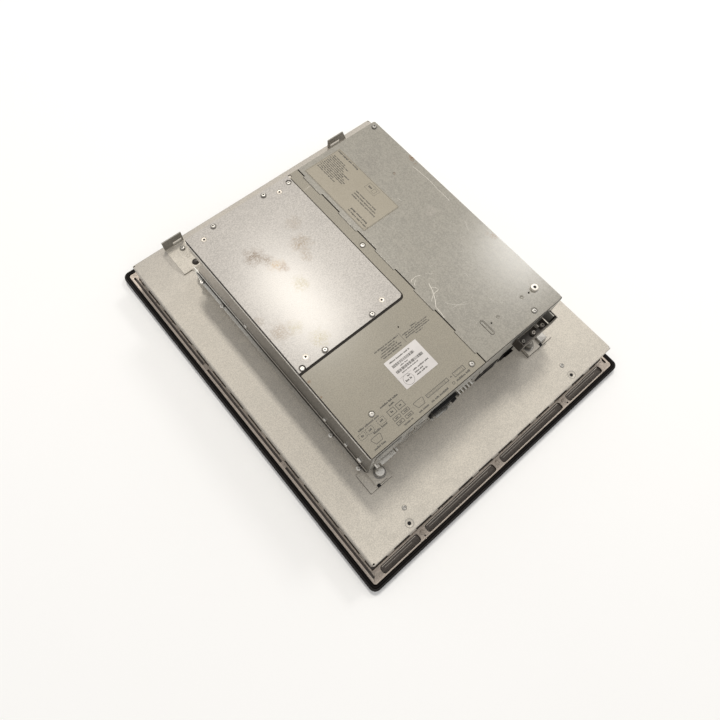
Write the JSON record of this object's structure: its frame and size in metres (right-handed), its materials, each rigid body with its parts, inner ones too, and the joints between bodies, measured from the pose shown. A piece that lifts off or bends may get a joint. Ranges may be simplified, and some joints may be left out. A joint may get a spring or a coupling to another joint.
{
  "type": "touch panel computer",
  "caption": "Panel-mount touch screen computer lying face down, with a flanged front frame, a shallow metal display cover and a hinged computer unit locked by captive screws.",
  "frame": {"origin": "centre of the front face, which lies on Z = 0", "axes": "+Z out of the rear of the object, +Y along the longer side of the front towards the hinges, +X along the shorter side"},
  "size_m": [0.4, 0.483, 0.1281],
  "materials": {
    "dark_plastic": "matt dark grey moulding",
    "black_rubber": "matt black",
    "screen_glass": "smooth dark touch glass",
    "cast_metal": "brownish cast aluminium, satin",
    "galvanised_sheet": "galvanised sheet with fine grain",
    "bright_sheet": "bright galvanised sheet, scratched",
    "printed_sheet": "greenish beige coated sheet",
    "zinc_steel": "bright zinc plated",
    "dark_steel": "dark coated steel",
    "circuit_board": "green circuit board",
    "connector_shell": "bright plated shell",
    "paper_label": "matt white label",
    "foil_label": "beige foil label",
    "display_module": "flat display module in its metal tray",
    "aluminium": "plain aluminium"
  },
  "bodies": {
    "display_unit": {"front_bezel": "dark_plastic", "touch_glass": "screen_glass", "mounting_gasket": "black_rubber", "front_frame": "cast_metal", "lcd_panel": "display_module", "display_chassis": "galvanised_sheet", "backlight_inverter": "circuit_board", "touch_controller": "circuit_board", "display_rear_cover": "galvanised_sheet", "hinge_bracket_left": "zinc_steel", "hinge_bracket_right": "zinc_steel", "hinge_pin_left": "zinc_steel", "hinge_pin_right": "zinc_steel", "bracket_screw_left": "zinc_steel", "bracket_screw_right": "zinc_steel", "bracket_plug_left": "black_rubber", "bracket_plug_right": "black_rubber", "lock_base_left": "zinc_steel", "lock_base_right": "zinc_steel"},
    "computer_unit": {"swing_carrier": "galvanised_sheet", "side_rail_left": "bright_sheet", "side_rail_right": "bright_sheet", "housing_tray": "galvanised_sheet", "interface_panel": "bright_sheet", "drive_cover": "bright_sheet", "system_cover": "printed_sheet", "expansion_cover": "bright_sheet", "rating_plate": "foil_label", "serial_label": "paper_label", "port_stack_left": "connector_shell", "port_stack_right": "connector_shell", "fieldbus_connector": "connector_shell", "serial_connector": "connector_shell", "video_connector": "connector_shell", "card_slot": "dark_plastic", "power_inlet": "dark_plastic", "switch_frame": "dark_plastic", "option_plate": "zinc_steel", "slot_cover_lower": "bright_sheet", "slot_cover_upper": "bright_sheet", "slot_retainer": "dark_steel", "lock_washer_left": "zinc_steel", "lock_washer_right": "zinc_steel", "mainboard": "circuit_board", "cpu_heatsink": "aluminium", "fan_frame": "dark_plastic", "power_supply": "galvanised_sheet", "drive_cage": "zinc_steel", "hard_disk": "aluminium", "memory_module": "circuit_board", "buffer_battery": "zinc_steel", "riser_board": "circuit_board", "inlet_cable": "black_rubber"},
    "lock_screw_left": {"lock_screw_left": "zinc_steel"},
    "lock_screw_right": {"lock_screw_right": "zinc_steel"},
    "fan_rotor": {"fan_rotor": "dark_plastic"},
    "card_eject_button": {"card_eject_button": "dark_plastic"},
    "power_rocker": {"power_rocker": "dark_plastic"}
  },
  "joints": [
    {"name": "computer_unit_swing", "type": "hinge", "parent": "display_unit", "child": "computer_unit", "pos_m": [0, 0.1955, 0.054], "axis": [-1, 0, 0], "range_deg": [0, 90]},
    {"name": "lock_left_turn", "type": "hinge", "parent": "computer_unit", "child": "lock_screw_left", "pos_m": [-0.1205, -0.153, 0.05], "axis": [0, 0, 1], "continuous": true},
    {"name": "lock_right_turn", "type": "hinge", "parent": "computer_unit", "child": "lock_screw_right", "pos_m": [0.1065, -0.154, 0.05], "axis": [0, 0, 1], "continuous": true},
    {"name": "fan_spin", "type": "hinge", "parent": "computer_unit", "child": "fan_rotor", "pos_m": [-0.076, 0.008, 0.0943], "axis": [0, 0, 1], "continuous": true},
    {"name": "card_eject_push", "type": "slide", "parent": "computer_unit", "child": "card_eject_button", "axis": [0, 1, 0], "range_m": [0, 0.005], "stiffness_N_per_m": 200, "springref_m": -0.002},
    {"name": "power_rocker_tip", "type": "hinge", "parent": "computer_unit", "child": "power_rocker", "pos_m": [0.07, -0.146, 0.066], "axis": [1, 0, 0], "range_deg": [-14, 0]}
  ]
}
